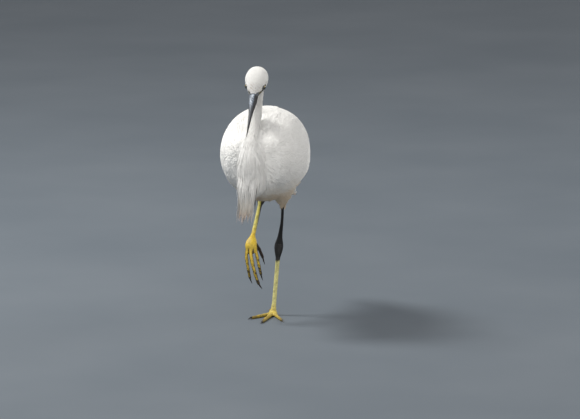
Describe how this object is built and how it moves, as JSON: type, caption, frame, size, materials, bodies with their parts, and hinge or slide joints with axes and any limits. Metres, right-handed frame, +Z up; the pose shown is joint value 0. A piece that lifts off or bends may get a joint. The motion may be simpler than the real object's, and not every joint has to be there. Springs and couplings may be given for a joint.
{
  "type": "little egret",
  "caption": "Life-size still model of a little egret standing on its left leg with the right foot lifted, neck curved and bill pointing down.",
  "frame": {"origin": "on the floor, under the ball of the standing left foot", "axes": "+Z up, the bird faces -Y, its left side is +X"},
  "size_m": [0.1216, 0.3056, 0.3735],
  "materials": {
    "plumage": "soft white feathers",
    "breast_plumes": "long wispy white feathers with buff tips",
    "leg_black": "black scaled skin, satin",
    "leg_yellow": "yellow-green scaled skin, satin",
    "bill_upper": "slate-blue to black horn, satin",
    "bill_lower": "black horn, satin",
    "eye": "wet gloss, pale iris round a large black pupil",
    "claw": "black horn, satin gloss"
  },
  "bodies": {
    "root": {"head": "plumage", "eye_left": "eye", "eye_right": "eye", "bill_upper": "bill_upper", "bill_lower": "bill_lower", "trunk": "plumage", "neck_upper": "plumage", "neck_middle": "plumage", "neck_lower": "plumage", "breast_plumes": "breast_plumes", "wing_left": "plumage", "wing_right": "plumage", "tail": "plumage", "thigh_left": "plumage", "thigh_right": "plumage", "shin_left": "leg_black", "tarsus_left": "leg_yellow", "shin_right": "leg_black", "tarsus_right": "leg_yellow", "toe_left_middle": "leg_yellow", "toe_left_inner": "leg_yellow", "toe_left_outer": "leg_yellow", "toe_left_hind": "leg_yellow", "claw_left_middle": "claw", "claw_left_inner": "claw", "claw_left_outer": "claw", "claw_left_hind": "claw", "toe_right_middle": "leg_yellow", "toe_right_inner": "leg_yellow", "toe_right_outer": "leg_yellow", "toe_right_hind": "leg_yellow", "claw_right_middle": "claw", "claw_right_inner": "claw", "claw_right_outer": "claw", "claw_right_hind": "claw"}
  },
  "joints": []
}
